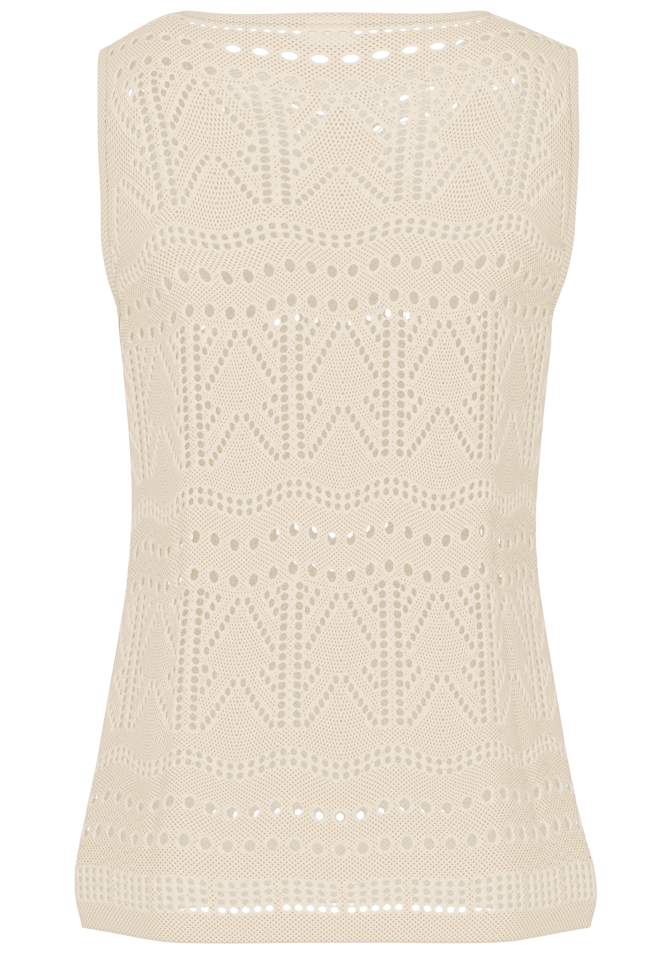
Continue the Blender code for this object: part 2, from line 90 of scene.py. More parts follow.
def through(rows, name, at):
    """The named column of a table, as a smooth curve through its rows, read at some heights."""
    heights = np.array([row[0] for row in rows], float)
    values = np.array([getattr(row, name) for row in rows], float)
    slopes = np.gradient(values, heights)
    low = np.clip(np.searchsorted(heights, at) - 1, 0, len(rows) - 2)
    span = heights[low + 1] - heights[low]
    f = np.clip((at - heights[low]) / span, 0.0, 1.0)
    start = values[low] * (1 + 2 * f) * (1 - f) ** 2 + slopes[low] * span * f * (1 - f) ** 2
    end = values[low + 1] * (3 - 2 * f) * f ** 2 - slopes[low + 1] * span * (1 - f) * f ** 2
    return start + end


def ease(f):
    """From 0 to 1, with level ends."""
    f = np.clip(f, 0.0, 1.0)
    return f * f * (3 - 2 * f)


print("slices:", len(SLICES), "widest", max(s.half for s in SLICES) * 2, "mm")

# %% [markdown]
# A slice is drawn by walking along it: the direction of each step turns slowly over the flat
# face, quickly at its corner and again at the side seam. Adding the steps up gives the curve, and
# dividing by its end gives shares from 0 to 1, so that one curve serves every width and depth.

# %% Curves of the slices
SLICE_STEPS = 160
SLICE_APART = 4.0      # mm between two heights of the grid
SLICE_HEIGHTS = np.arange(-584.0, 24.0, SLICE_APART)
JUST_INSIDE = 0.001    # keeps a reading off the last node of the grid


def slice_curves():
    """x and depth, each as a share, along a quarter of every slice: one row for each height."""
    share = np.linspace(0.0, 1.0, SLICE_STEPS + 1)
    middle = (share[1:] + share[:-1]) / 2
    corner = through(SLICES, "corner", SLICE_HEIGHTS)[:, None]
    soft = through(SLICES, "soft", SLICE_HEIGHTS)[:, None]
    flank = through(SLICES, "flank", SLICE_HEIGHTS)[:, None]
    side = through(SLICES, "side", SLICE_HEIGHTS)[:, None]
    angle = BOW * np.minimum(middle / corner, 1.0)
    angle = angle + (flank - BOW) * ease((middle - corner + soft) / (2 * soft))
    angle = angle + (90.0 - flank) * ease((middle - 1 + side) / side)
    across = np.cumsum(np.cos(np.radians(angle)), axis=1)
    inward = np.cumsum(np.sin(np.radians(angle)), axis=1)
    zero = np.zeros((len(SLICE_HEIGHTS), 1))
    across = np.hstack([zero, across / across[:, -1:]])
    inward = np.hstack([zero, inward / inward[:, -1:]])
    return across, 1.0 - inward


ACROSS, DEPTH = slice_curves()


def read_slice(grid, share, z):
    """A value of a slice grid between its nodes. Past the side seam it is mirrored."""
    row = np.clip((z - SLICE_HEIGHTS[0]) / SLICE_APART, 0, len(SLICE_HEIGHTS) - 1 - JUST_INSIDE)
    column = np.clip(1 - np.abs(1 - np.abs(share)), 0, 1) * (SLICE_STEPS - JUST_INSIDE)
    i = row.astype(int)
    j = column.astype(int)
    p = row - i
    q = column - j
    lower = grid[i, j] * (1 - q) + grid[i, j + 1] * q
    upper = grid[i + 1, j] * (1 - q) + grid[i + 1, j + 1] * q
    return lower * (1 - p) + upper * p


def across_body(share, z):
    """x at a share of the way from the middle of a panel to its side seam."""
    return np.sign(share) * read_slice(ACROSS, share, z) * through(SLICES, "half", z)


print("slice curves:", ACROSS.shape)

# %% [markdown]
# Above, the slices close over the shoulders. The shoulder line is level behind the neck and then
# falls to the armholes, and the cloth turns over it in a quarter circle.

# %% Shoulders
Shoulder = namedtuple("Shoulder", "start slope")
LEFT_SHOULDER = Shoulder(110.0, 0.56)
RIGHT_SHOULDER = Shoulder(97.0, 0.42)
SHOULDER_TOP = 10.3
SHOULDER_EASE = 5.0
SHOULDER_ROUND = 45.0
NECK_RISE = 8.7
NECK_RISE_HALF = 100.0
SEAM_DEPTH = 0.2       # how near the back and the front come to the line of their seam
NORMAL_ACROSS = 0.004  # reach of the two small steps that tell which way the cloth faces
NORMAL_DOWN = 0.05


def shoulder_line(x):
    """Height of the shoulder line, which the neck opening interrupts."""
    start = np.where(x > 0, RIGHT_SHOULDER.start, LEFT_SHOULDER.start)
    slope = np.where(x > 0, RIGHT_SHOULDER.slope, LEFT_SHOULDER.slope)
    x = np.abs(x)
    fall = SHOULDER_EASE * np.log1p(np.exp((x - start) / SHOULDER_EASE))
    rise = NECK_RISE * np.maximum(1 - (x / NECK_RISE_HALF) ** 2, 0.0)
    return SHOULDER_TOP + rise - slope * fall


def on_body(share, z, front):
    """The point of the filled-out form at a share of a slice and a height."""
    x = across_body(share, z)
    below = np.clip((shoulder_line(x) - z) / SHOULDER_ROUND, 0.0, 1.0)
    depth = read_slice(DEPTH, share, z) * through(SLICES, "front" if front else "back", z)
    depth = np.maximum(depth * np.sqrt(1 - (1 - below) ** 2), SEAM_DEPTH)
    depth = depth * np.where(np.abs(share) > 1, -1, 1)
    return np.stack([x + through(SLICES, "mid", z), depth if front else -depth, z], axis=-1)


def laid(share, z, front, out):
    """Points of the body, moved out square to it."""
    left = on_body(share - NORMAL_ACROSS, z, front)
    across = on_body(share + NORMAL_ACROSS, z, front) - left
    upward = on_body(share, z, front) - on_body(share, z - NORMAL_DOWN, front)
    normal = np.cross(upward, across) if front else np.cross(across, upward)
    normal = normal / np.linalg.norm(normal, axis=-1, keepdims=True)
    return on_body(share, z, front) + normal * np.asarray(out)[..., None]


print("shoulder line, 120 mm out:", float(shoulder_line(np.array(120.0))), "mm high")

# %% [markdown]
# ## The knitted chart
#
# A knitter works from a flat chart. Across it runs u, counted in repeats of the leaf from the
# middle of a panel, and up it runs h, the height of a course at the middle. The table says how
# each course lies on the body: where it swells and droops, how deep its scallops are and how wide
# a repeat is. The cloth follows from the two tables together, so a hole drawn on the chart lands
# on the body in its right place, stretched and leaning as the knit does there.

# %% Courses of the knit
REPEAT = 64.0          # width of one repeat of the lace, lying slack
HALF_REPEATS = 3.0     # repeats from the middle of a panel to its side seam
Course = namedtuple("Course", "h swell droop tilt wave rate end turn dip")
COURSES = [
    Course(-582, -2.0, -0.5, 0.0, 0.0, 0.3333, 0.3333, 4.0, 0),
    Course(-556, -1.0, -1.0, 0.2, 1.0, 0.3333, 0.3333, 4.2, 0),
    Course(-520, 4.5, -1.0, 0.8, 1.4, 0.3440, 0.3333, 4.5, 0),
    Course(-499, 6.0, -2.0, 1.4, 2.8, 0.3360, 0.3333, 5.0, 0),
    Course(-472, 1.5, -3.0, 1.4, 4.6, 0.3333, 0.3333, 5.3, 0),
    Course(-400, -2.5, -6.0, 1.2, 3.0, 0.3300, 0.3333, 5.5, 0),
    Course(-350, -3.5, -9.0, 1.2, 3.4, 0.3190, 0.3333, 5.5, 0),
    Course(-327, -3.5, -10.0, 1.2, 3.8, 0.3190, 0.3333, 5.5, 0),
    Course(-301, -3.5, -10.0, 1.4, 5.0, 0.3240, 0.3333, 5.5, 0),
    Course(-235, -4.5, -12.0, 2.2, 3.2, 0.3333, 0.3333, 4.8, 0),
    Course(-182, -2.1, -20.5, 3.1, 2.8, 0.3264, 0.3396, 4.4, 0),
    Course(-161, -0.6, -32.0, 3.1, 2.8, 0.3156, 0.3479, 3.5, 1),
    Course(-141, 4.9, -50.4, 2.9, 3.8, 0.3730, 0.2960, 2.3, 3),
    Course(-125, 7.3, -61.2, 2.2, 4.6, 0.3905, 0.2508, 2.2, 4),
    Course(-105, 15.6, -79.2, 2.1, 2.7, 0.3996, 0.2713, 2.0, 7),
    Course(-85, 16.4, -70.7, 1.5, 4.9, 0.4174, 0.2847, 2.2, 9),
    Course(-62, 22.9, -61.2, 1.2, 1.0, 0.4552, 0.2724, 1.5, 11),
    Course(-46, 22.0, -36.6, 1.1, 1.2, 0.4555, 0.2442, -0.9, 12),
    Course(-28, 21.1, -22.0, 1.2, 0.9, 0.4653, 0.2139, -1.7, 13),
]
SPREAD = 1.2
SWELL_END = 1.8
DROOP_START = 1.0
DIP_HALF = 1.5
HEM = -580.0           # first and last course of a panel
TOP = 1.5
NECK_HALF = 1.18       # half width of the neck opening, in repeats
NECK_DEPTH = 17.6
FRONT_NECK_DROP = 13.0
NECK_POWER = 2.8


def share_of(u, h):
    """How far round a slice a repeat of the chart lies."""
    end = through(COURSES, "end", h)
    middle = (through(COURSES, "rate", h) - end) * SPREAD * np.tanh(u / SPREAD)
    turned = through(COURSES, "turn", h) * (1 - (u / HALF_REPEATS) ** 2) / QUARTER
    return end * u + middle + turned


def course_height(u, h, front):
    """Height on the body of a point of the chart, up to the last course of the table."""
    beside = np.maximum(np.abs(u) - DROOP_START, 0.0) / (HALF_REPEATS - DROOP_START)
    z = h + through(COURSES, "swell", h) * ease(np.abs(u) / SWELL_END)
    z = z + through(COURSES, "droop", h) * beside ** 2
    z = z + through(COURSES, "tilt", h) * u
    z = z - through(COURSES, "wave", h) * np.cos(2 * np.pi * u)
    if front:
        z = z - through(COURSES, "dip", h) * (1 - ease(np.abs(u) / DIP_HALF))
    return z


def height_of(u, h, front):
    """Height on the body of a point of the chart. Past the last course it climbs the shoulder."""
    last = COURSES[-1].h
    z = course_height(u, np.minimum(h, last), front)
    line = shoulder_line(across_body(share_of(u, h), z))
    climb = np.clip((h - last) / (TOP - last), 0.0, 1.0)
    neck = NECK_DEPTH + (FRONT_NECK_DROP if front else 0.0)
    edge = neck * np.maximum(1 - (np.abs(u) / NECK_HALF) ** NECK_POWER, 0.0)
    below = np.sqrt(np.maximum(line - z, 0.0)) * (1 - climb) + np.sqrt(edge) * climb
    return np.where(h > last, line - below ** 2, z)


print("courses:", len(COURSES), "from", COURSES[0].h, "to", COURSES[-1].h, "mm")

# %% [markdown]
# Where a flank folds in beside the flat face, the cloth has a long soft crease. Four of them are
# charted here as in the frame, and shorter, shallower ones are added, each at its own angle,
# because knitted cloth never hangs quite smooth. The front has its own.

# %% Creases
Crease = namedtuple("Crease", "front upper lower u_upper u_lower depth width")
CREASES = [
    Crease(False, -285, -552, -1.72, -1.78, 2.4, 0.085),
    Crease(False, -300, -545, 1.74, 2.20, 2.2, 0.095),
    Crease(True, -270, -530, -1.80, -2.05, 2.0, 0.10),
    Crease(True, -315, -556, 1.70, 1.76, 2.5, 0.085),
    Crease(False, -190, -300, -1.95, -1.72, 0.7, 0.11),
    Crease(False, -205, -330, 2.05, 1.80, 0.8, 0.12),
    Crease(False, -372, -470, -2.35, -2.30, 0.7, 0.09),
    Crease(False, -395, -520, 2.42, 2.55, 0.7, 0.10),
    Crease(True, -180, -290, -1.90, -1.76, 0.8, 0.12),
    Crease(True, -200, -330, 1.98, 1.74, 0.7, 0.11),
    Crease(True, -380, -500, 2.30, 2.42, 0.8, 0.10),
]
CREASE_ENDS = 40.0     # mm over which a crease fades out
SEARCH_ROUNDS = 60
SEARCH_SHARE = 0.7     # share of the remaining error that a round takes away
SEARCH_LONGEST = 8.0   # mm
PROBE_ACROSS = 0.01    # repeats
PROBE_DOWN = 0.2       # mm


def crease_depth(u, h, front):
    """How far the soft creases pull the cloth in."""
    pull = np.zeros_like(u)
    for crease in CREASES:
        if crease.front == front:
            f = np.clip((h - crease.upper) / (crease.lower - crease.upper), 0.0, 1.0)
            away = (u - crease.u_upper - f * (crease.u_lower - crease.u_upper)) / crease.width
            fade = ease((crease.upper - h) / CREASE_ENDS) * ease((h - crease.lower) / CREASE_ENDS)
            pull = pull + crease.depth * fade * np.exp(-away ** 2)
    return pull


def cloth(u, h, front, out=0.0):
    """Points of the chart on the body, moved out from the middle of the wall."""
    u = np.asarray(u, float)
    h = np.asarray(h, float)
    return laid(share_of(u, h), height_of(u, h, front), front, out - crease_depth(u, h, front))


def on_chart(share, z, front):
    """The point of the chart that lies at a share and a height of the body, found step by step."""
    h = np.array(z, float)
    u = np.array(share, float) * HALF_REPEATS
    for _ in range(SEARCH_ROUNDS):
        wider = share_of(u + PROBE_ACROSS, h) - share_of(u - PROBE_ACROSS, h)
        wider = wider / (2 * PROBE_ACROSS)
        u = u + SEARCH_SHARE * (share - share_of(u, h)) / np.maximum(wider, 0.05)
        higher = (height_of(u, h, front) - height_of(u, h - PROBE_DOWN, front)) / PROBE_DOWN
        move = SEARCH_SHARE * (z - height_of(u, h, front)) / np.maximum(higher, 0.02)
        h = np.minimum(h + np.clip(move, -SEARCH_LONGEST, SEARCH_LONGEST), TOP)
    return u, h


print("creases:", len(CREASES))

# %% [markdown]
# ## Edges of a panel
#
# A panel ends at the hem, the two side seams, the two armhole bands, the shoulder seams and the
# neck band. The armhole is the curve that a maker would cut, level with the arm above and swept
# out to the side seam below.

# %% Outline of a panel
NECK_BAND = 10.5       # width of the band
NECK_BAND_END = 0.12   # how far past the opening its seam ends, in repeats
NECK_SQUARENESS = 6.0
ARM_INSET = 36.5       # from the side seam to the free edge of the band
ARM_LEVEL = -92.0      # the armhole is straight above this height
ARM_BOTTOM = -174.0
ARM_POWER = 2.2
ARM_BAND = 9.5
NECK_STEPS = 120       # points along each edge
ARM_STEPS = 56
SIDE_STEPS = 130
HEM_STEPS = 150
SHOULDER_STEPS = 12


def armhole(hand, inside, steps):
    """Shares and heights along the back or the front of an armhole, from shoulder to underarm.

    hand is -1 for the left armhole of the back view and 1 for the right one, and inside is the
    distance from the free edge of the band, into the panel."""
    inset = (ARM_INSET + inside) / QUARTER
    tip = across_body(np.array([hand * (1 - inset)]), np.array([0.0]))
    top = shoulder_line(tip)[0]
    bottom = ARM_BOTTOM - inside
    z = top + (bottom - top) * np.sin(np.linspace(0, np.pi / 2, steps + 1)) ** 2
    low = np.maximum((ARM_LEVEL - z) / (ARM_LEVEL - bottom), 0.0)
    share = 1 - inset * np.maximum(1 - low ** ARM_POWER, 0.0) ** (1 / ARM_POWER)
    return hand * share, z


def neck_seam(steps, below):
    """The seam between a panel and its neck band, on the chart, from left to right."""
    f = np.sin(np.linspace(-np.pi / 2, np.pi / 2, steps + 1))
    u = (NECK_HALF + NECK_BAND_END + below / REPEAT) * f
    h = TOP - (NECK_BAND + below) * (1 - np.abs(f) ** NECK_SQUARENESS) ** (1 / NECK_SQUARENESS)
    return u, h


def panel_outline(front):
    """The edge of a panel on the chart, anticlockwise from the left end of the hem."""
    rise = np.linspace(HEM, ARM_BOTTOM - ARM_BAND, SIDE_STEPS)
    sides = []
    for hand in (-1, 1):
        share, z = armhole(hand, ARM_BAND, ARM_STEPS)
        share = np.concatenate([np.full(len(rise) - 1, 1.0 * hand), np.clip(share, -1, 1)[::-1]])
        u_side, h_side = on_chart(share, np.concatenate([rise[:-1], z[::-1]]), front)
        h_side[0] = HEM
        h_side[-1] = TOP
        sides.append((u_side, h_side))
    (u_left, h_left), (u_right, h_right) = sides
    u_seam, h_seam = neck_seam(NECK_STEPS, 0.0)
    h_seam[0] = TOP
    h_seam[-1] = TOP
    u_hem = np.linspace(u_left[0], u_right[0], HEM_STEPS)[1:-1]
    to_right = np.linspace(u_seam[-1], u_right[-1], SHOULDER_STEPS + 1)[1:-1]
    to_left = np.linspace(u_seam[0], u_left[-1], SHOULDER_STEPS + 1)[1:-1]
    level = np.full(len(to_right), TOP)
    u = np.concatenate([u_left[:1], u_hem, u_right, to_right[::-1], u_seam[::-1], to_left,
                        u_left[:0:-1]])
    h = np.concatenate([[HEM], np.full(len(u_hem), HEM), h_right, level, h_seam[::-1], level,
                        h_left[:0:-1]])
    return u, h


print("outline points of the back:", len(panel_outline(False)[0]))

# %% [markdown]
# ## The lace
#
# An eyelet is a stitch left open. In this lace they stand in straight runs: two ladders beside
# each leaf, its slanting edges, and small sprays at its tip and foot. Every run is charted for
# half a leaf, with its first and last hole, and the other half is its mirror image.
# Pairs of courses with larger eyelets part the bands of leaves, and blocks of small bars run
# above the hem. No light comes through the back from behind, so the front is knitted closer: it
# has the large rows only, and they are drawn tighter.

# %% Chart of the eyelets
Run = namedtuple("Run", "u0 t0 u1 t1 count wide high")
LEAF_RUNS = [          # u from the middle of a leaf, t in mm below the top of its band
    Run(0.425, 10.9, 0.425, 98.0, 15, 5.4, 5.4),
    Run(0.050, 12.6, 0.322, 47.0, 7, 4.1, 6.3),
    Run(0.328, 58.7, 0.328, 58.7, 1, 5.0, 6.4),
    Run(0.245, 12.5, 0.343, 25.0, 3, 4.0, 6.2),
    Run(0.358, 12.3, 0.358, 12.3, 1, 3.4, 5.4),
    Run(0.230, 61.0, 0.343, 73.0, 3, 3.8, 6.4),
    Run(0.050, 64.0, 0.328, 96.2, 7, 4.0, 6.2),
    Run(0.050, 115.9, 0.450, 115.9, 5, 4.4, 5.4),
    Run(0.050, 122.4, 0.450, 122.4, 5, 4.4, 5.4),
]
Band = namedtuple("Band", "top scale")
LEAF_BANDS = [Band(-46.5, 0.795), Band(-182.0, 1.0), Band(-349.0, 1.0)]

BigRow = namedtuple("BigRow", "h last step wide high")
BIG_ROWS = [           # last is the place of the last hole, in steps of so many repeats
    BigRow(-14.8, 21.5, 0.1, 3.9, 3.4),
    BigRow(-30.0, 12.5, 0.2, 7.2, 5.2),
    BigRow(-46.5, 13.5, 0.2, 7.0, 6.4),
    BigRow(-161.0, 14.5, 0.2, 6.6, 8.6),
    BigRow(-182.0, 14.5, 0.2, 6.6, 8.6),
    BigRow(-326.0, 14.5, 0.2, 6.4, 8.4),
    BigRow(-349.0, 14.5, 0.2, 6.4, 8.4),
    BigRow(-498.5, 14.0, 0.2, 6.6, 8.0),
    BigRow(-520.5, 14.0, 0.2, 6.6, 8.0),
]
BAR_BLOCK = 0.577      # repeats from one block of bars to the next
BAR_STEP = 0.106       # between the bars of a block
BARS = 5
BAR_ROWS = (-543.4, -548.4, -553.4, -558.4)
BAR_WIDE = 4.6
BAR_HIGH = 4.0
FRONT_EYELET = 0.7     # size of the eyelets of the front, against those of the back
SMALL_EYELET = 5.2     # narrower holes than this are drawn with six corners
Eyelet = namedtuple("Eyelet", "u h wide high corners")


def lace_eyelets(front):
    """Every eyelet of a panel, from side seam to side seam. The front has only the large rows."""
    found = []
    for row in BIG_ROWS[1:] if front else BIG_ROWS:
        scale = FRONT_EYELET if front else 1.0
        for place in np.arange(-row.last, row.last + 0.1):
            found.append((place * row.step, row.h, row.wide * scale, row.high * scale))
    for band in [] if front else LEAF_BANDS:
        for run in LEAF_RUNS:
            for k in range(run.count):
                f = k / max(run.count - 1, 1)
                away = run.u0 + f * (run.u1 - run.u0)
                h = band.top - band.scale * (run.t0 + f * (run.t1 - run.t0))
                for leaf in range(-3, 4):
                    for u in (leaf - away, leaf + away):
                        found.append((u, h, run.wide, run.high * band.scale))
    for block in [] if front else range(-5, 5):
        for k in range(BARS):
            u = (block + 0.5) * BAR_BLOCK + (k - (BARS - 1) / 2) * BAR_STEP
            for h in BAR_ROWS:
                found.append((u, h, BAR_WIDE, BAR_HIGH))
    return [Eyelet(u, h, wide, high, 6 if wide < SMALL_EYELET else 8)
            for u, h, wide, high in found if abs(u) < HALF_REPEATS]


print("eyelets charted on the back:", len(lace_eyelets(False)))

# %% [markdown]
# Between the pairs of large eyelets run garter courses: a groove, a ridge and a groove again. At
# the flanks they are the strongest lines of the whole top. They are nearly a millimetre deep, so
# they are modelled, and the rows of points are set closer there. The leaves bulge a little
# between their ladders.

# %% Relief of the panels
GROOVES = [            # heights of the grooves on the chart
    -149.6, -154.8, -170.4, -175.6,
    -314.6, -319.8, -335.4, -340.8,
    -485.5, -491.0, -508.0, -513.0,
    -529.5, -534.0, -538.0,
]
GROOVE_DEPTH = 0.85
GROOVE_HALF = 1.1
LEAF_BULGE = 0.7
LEAF_HALF = 0.40       # half width of the bulge, in repeats
LEAF_FROM = 8.0        # its top and foot, in mm below the top of its band
LEAF_TO = 110.0


def relief(u, h):
    """How far the knit stands out of its middle surface, in mm."""
    out = np.zeros_like(u)
    for groove in GROOVES:
        out = out - GROOVE_DEPTH * np.exp(-((h - groove) / GROOVE_HALF) ** 2)
    fold = np.abs(u - np.round(u))
    for band in LEAF_BANDS:
        down = (band.top - h) / band.scale
        along = np.clip((down - LEAF_FROM) / (LEAF_TO - LEAF_FROM), 0.0, 1.0)
        round_leaf = np.sqrt(np.maximum(1 - (fold / LEAF_HALF) ** 2, 0.0))
        out = out + LEAF_BULGE * band.scale * round_leaf * np.sin(np.pi * along) ** 0.5
    return out


print("garter grooves:", len(GROOVES))

# %% [markdown]
# ## Laying a panel
#
# A sheet pierced by two thousand holes could be cut with Booleans, which would be slow and
# fragile. Instead the outline, the corners of the eyelets and rows of points between them are
# joined into triangles while the panel is still flat, by Blender's own triangulator, and the
# holes are simply left out. Only then is every point laid on the body, once for the outer face
# and once for the lining, so the wall has the same thickness everywhere.

# %% Helpers for flat charts
ROW_STEP = 2.9
GROOVE_STEP = 1.25
GROOVE_REACH = 3.5
COLUMN_STEP = 4.1
WIDEST = 1.3           # the widest course, against the width of the chart
FAR = 1e9
EDGE_ROOM = 1.3        # least yarn between an eyelet and the edge of its panel
POINT_ROOM = 0.9       # least distance from a point to an eyelet or an edge


def edge_distance(points, outline):
    """Signed distance of chart points, in mm, from a closed outline: positive inside."""
    after = np.roll(outline, -1, axis=0)
    nearest = np.full(len(points), FAR)
    inside = np.zeros(len(points), bool)
    for start, end in zip(outline, after):
        side = end - start
        f = np.clip((points - start) @ side / max(side @ side, 1e-9), 0.0, 1.0)
        away = points - start - f[:, None] * side
        nearest = np.minimum(nearest, np.hypot(away[:, 0], away[:, 1]))
        crosses = (start[1] > points[:, 1]) != (end[1] > points[:, 1])
        with np.errstate(divide="ignore", invalid="ignore"):
            x = start[0] + (points[:, 1] - start[1]) * side[0] / side[1]
        inside ^= crosses & (points[:, 0] < x)
    return np.where(inside, nearest, -nearest)


def eyelet_corners(eyelet):
    """Corners of an eyelet on the chart, in mm."""
    turn = (np.arange(eyelet.corners) + 0.5) * 2 * np.pi / eyelet.corners
    x = eyelet.u * REPEAT + eyelet.wide / 2 * np.cos(turn)
    y = eyelet.h + eyelet.high / 2 * np.sin(turn)
    return np.column_stack([x, y])


def clear_eyelets(outline, front):
    """The charted eyelets that leave enough yarn at the edges of a panel."""
    eyelets = lace_eyelets(front)
    rings = [eyelet_corners(eyelet) for eyelet in eyelets]
    room = edge_distance(np.concatenate(rings), outline)
    ends = np.cumsum([len(ring) for ring in rings])
    return [eyelet for eyelet, ring, end in zip(eyelets, rings, ends)
            if room[end - len(ring):end].min() > EDGE_ROOM]


def filling_points(outline, eyelets):
    """Points in staggered rows, clear of the edges and of the eyelets."""
    reach = HALF_REPEATS * REPEAT * WIDEST
    level = HEM + ROW_STEP
    points = []
    while level < TOP - 1.0:
        in_garter = min(abs(level - groove) for groove in GROOVES) < GROOVE_REACH
        shift = (len(points) % 2) * COLUMN_STEP / 2
        x = np.arange(-reach + shift, reach, COLUMN_STEP)
        points.append(np.column_stack([x, np.full(len(x), level)]))
        level += GROOVE_STEP if in_garter else ROW_STEP
    points = np.concatenate(points)
    points = points[edge_distance(points, outline) > POINT_ROOM]
    free = np.ones(len(points), bool)
    order = np.argsort(points[:, 1])
    heights = points[order, 1]
    for eyelet in eyelets:
        half = eyelet.high / 2 + POINT_ROOM
        low, high = np.searchsorted(heights, (eyelet.h - half, eyelet.h + half))
        near = order[low:high]
        x = (points[near, 0] - eyelet.u * REPEAT) / (eyelet.wide / 2 + POINT_ROOM)
        y = (points[near, 1] - eyelet.h) / half
        free[near[x * x + y * y < 1.0]] = False
    return points[free]


print("rows are", ROW_STEP, "mm apart, and", GROOVE_STEP, "mm in the garter courses")

# %% [markdown]
# A wall is two layers of the same points, joined all round every edge. An edge of the cloth or of
# an eyelet is a triangle's side that no other triangle shares, so the rims are found without
# keeping any list of them. The chart position of each point is kept as a UV map, which the yarn
# will follow, and three numbers are kept beside it: how near a point is to an eyelet, whether the
# label lies behind it, and whether it is on the inside.

# %% A wall of cloth
def make_wall(name, outer, inner, triangles, flip, chart, marks=None):
    """A closed wall from two layers of points in mm, with its chart as a UV map."""
    count = len(outer)
    triangles = np.asarray(triangles)
    if flip:
        triangles = triangles[:, ::-1]
    sides = np.vstack([triangles[:, [0, 1]], triangles[:, [1, 2]], triangles[:, [2, 0]]])
    ahead = sides[:, 0] * count + sides[:, 1]
    back = sides[:, 1] * count + sides[:, 0]
    rim = sides[~np.isin(ahead, back)]
    ring = np.column_stack([rim[:, 1], rim[:, 0], rim[:, 0] + count, rim[:, 1] + count])
    faces = triangles.tolist() + (triangles[:, ::-1] + count).tolist() + ring.tolist()
    mesh = bpy.data.meshes.new(name)
    mesh.from_pydata((np.vstack([outer, inner]) * METRE).tolist(), [], faces)
    corners = np.zeros(len(mesh.loops), int)
    mesh.loops.foreach_get("vertex_index", corners)
    layer = mesh.uv_layers.new(name="chart")
    layer.data.foreach_set("uv", (chart[corners % count] / REPEAT).astype(np.float32).ravel())
    marks = {name: np.tile(values, 2) for name, values in (marks or {}).items()}
    marks["inside"] = np.repeat([0.0, 1.0], count)
    for mark, values in marks.items():
        attribute = mesh.attributes.new(mark, "FLOAT", "POINT")
        attribute.data.foreach_set("value", values.astype(np.float32))
    mesh.shade_smooth()
    piece = bpy.data.objects.new(name, mesh)
    bpy.context.scene.collection.objects.link(piece)
    print(name, "triangles:", sum(len(p.vertices) - 2 for p in mesh.polygons))
    return piece


# %% The two panels
OUTER = 0.9            # the outer face, from the middle of the wall
INNER = -0.7
LABEL_MIDDLE = -3.0
LABEL_WIDTH = 28.0
LABEL_TOP = -4.0
LABEL_BOTTOM = -22.0
LABEL_REPEAT = 93.0    # width of a repeat at the neck, where the knit is stretched


def behind_cloth(chart, front):
    """1 where the label lies behind the cloth, and 0 elsewhere."""
    x = np.abs(chart[:, 0] / REPEAT * LABEL_REPEAT - LABEL_MIDDLE) - LABEL_WIDTH / 2
    y = np.abs(chart[:, 1] - (LABEL_TOP + LABEL_BOTTOM) / 2) - (LABEL_TOP - LABEL_BOTTOM) / 2
    return np.zeros(len(chart)) if front else np.clip(0.5 - np.maximum(x, y), 0.0, 1.0)


def panel(name, front):
    """One pierced panel, joined on its chart and laid on the body."""
    u, h = panel_outline(front)
    outline = np.column_stack([u * REPEAT, h])
    eyelets = clear_eyelets(outline, front)
    corners = [eyelet_corners(eyelet) for eyelet in eyelets]
    points = [outline] + corners + [filling_points(outline, eyelets)]
    edges = []
    hole_of = []
    first = 0
    for number, ring in enumerate([outline] + corners):
        edges += [(first + k, first + (k + 1) % len(ring)) for k in range(len(ring))]
        hole_of += [number - 1] * len(ring)
        first += len(ring)
    points = np.concatenate(points)
    hole_of += [-1] * (len(points) - first)
    found = delaunay_2d_cdt([Vector(p) for p in points], edges, [], 1, 1e-5)
    chart = np.array([tuple(p) for p in found[0]])
    hole = np.array([max((hole_of[s] for s in source), default=-1) for source in found[3]])
    triangles = np.array(found[2])
    three = hole[triangles]
    in_hole = (three[:, 0] >= 0) & (three[:, 0] == three[:, 1]) & (three[:, 1] == three[:, 2])
    triangles = triangles[~in_hole]
    u = chart[:, 0] / REPEAT
    h = chart[:, 1]
    raised = relief(u, h)
    outer = cloth(u, h, front, OUTER + raised)
    inner = cloth(u, h, front, INNER + raised)
    marks = {"rim": (hole >= 0) * 1.0, "backed": behind_cloth(chart, front)}
    print(name, "eyelets:", len(eyelets), "points:", len(chart))
    return make_wall(name, outer, inner, triangles, front, chart, marks)


back_panel = panel("back_lace", False)
front_panel = panel("front_lace", True)

# %% [markdown]
# ## Bands
#
# The neck and the armholes end in narrow double bands of the same yarn. A band is a strip of rows
# of points, and a swept tube would do as well, but taking it from the chart keeps it flush with
# the panel that it finishes. Its thickness falls off near the free edge, so the edge turns
# softly.

# %% Strips along an edge
BAND_HALF = 1.25       # half the thickness of a double band
BAND_COLUMNS = 9
BAND_SWELL = 0.5       # share of a band's width over which it grows from a panel's thickness
EDGE_TURN = 0.30       # share of a band's width that rounds off at its free edge
EDGE_THIN = 0.9        # how far the rounding goes: 1 would be to nothing


def strip_triangles(rows, columns, closed):
    """Triangles of a strip, a row of points after a row."""
    triangles = []
    for i in range(rows if closed else rows - 1):
        for j in range(columns - 1):
            a = i * columns + j
            b = (i + 1) % rows * columns + j
            triangles += [(a, b, b + 1), (a, b + 1, a + 1)]
    return triangles


def band_half(f):
    """Half thickness across a band, from its seam at 0 to its free edge at 1."""
    turned = np.clip((f - 1 + EDGE_TURN) / EDGE_TURN, 0.0, 1.0)
    fuller = OUTER + (BAND_HALF - OUTER) * ease(f / BAND_SWELL)
    return fuller * np.sqrt(np.maximum(1 - EDGE_THIN * turned ** 2, 0.0))


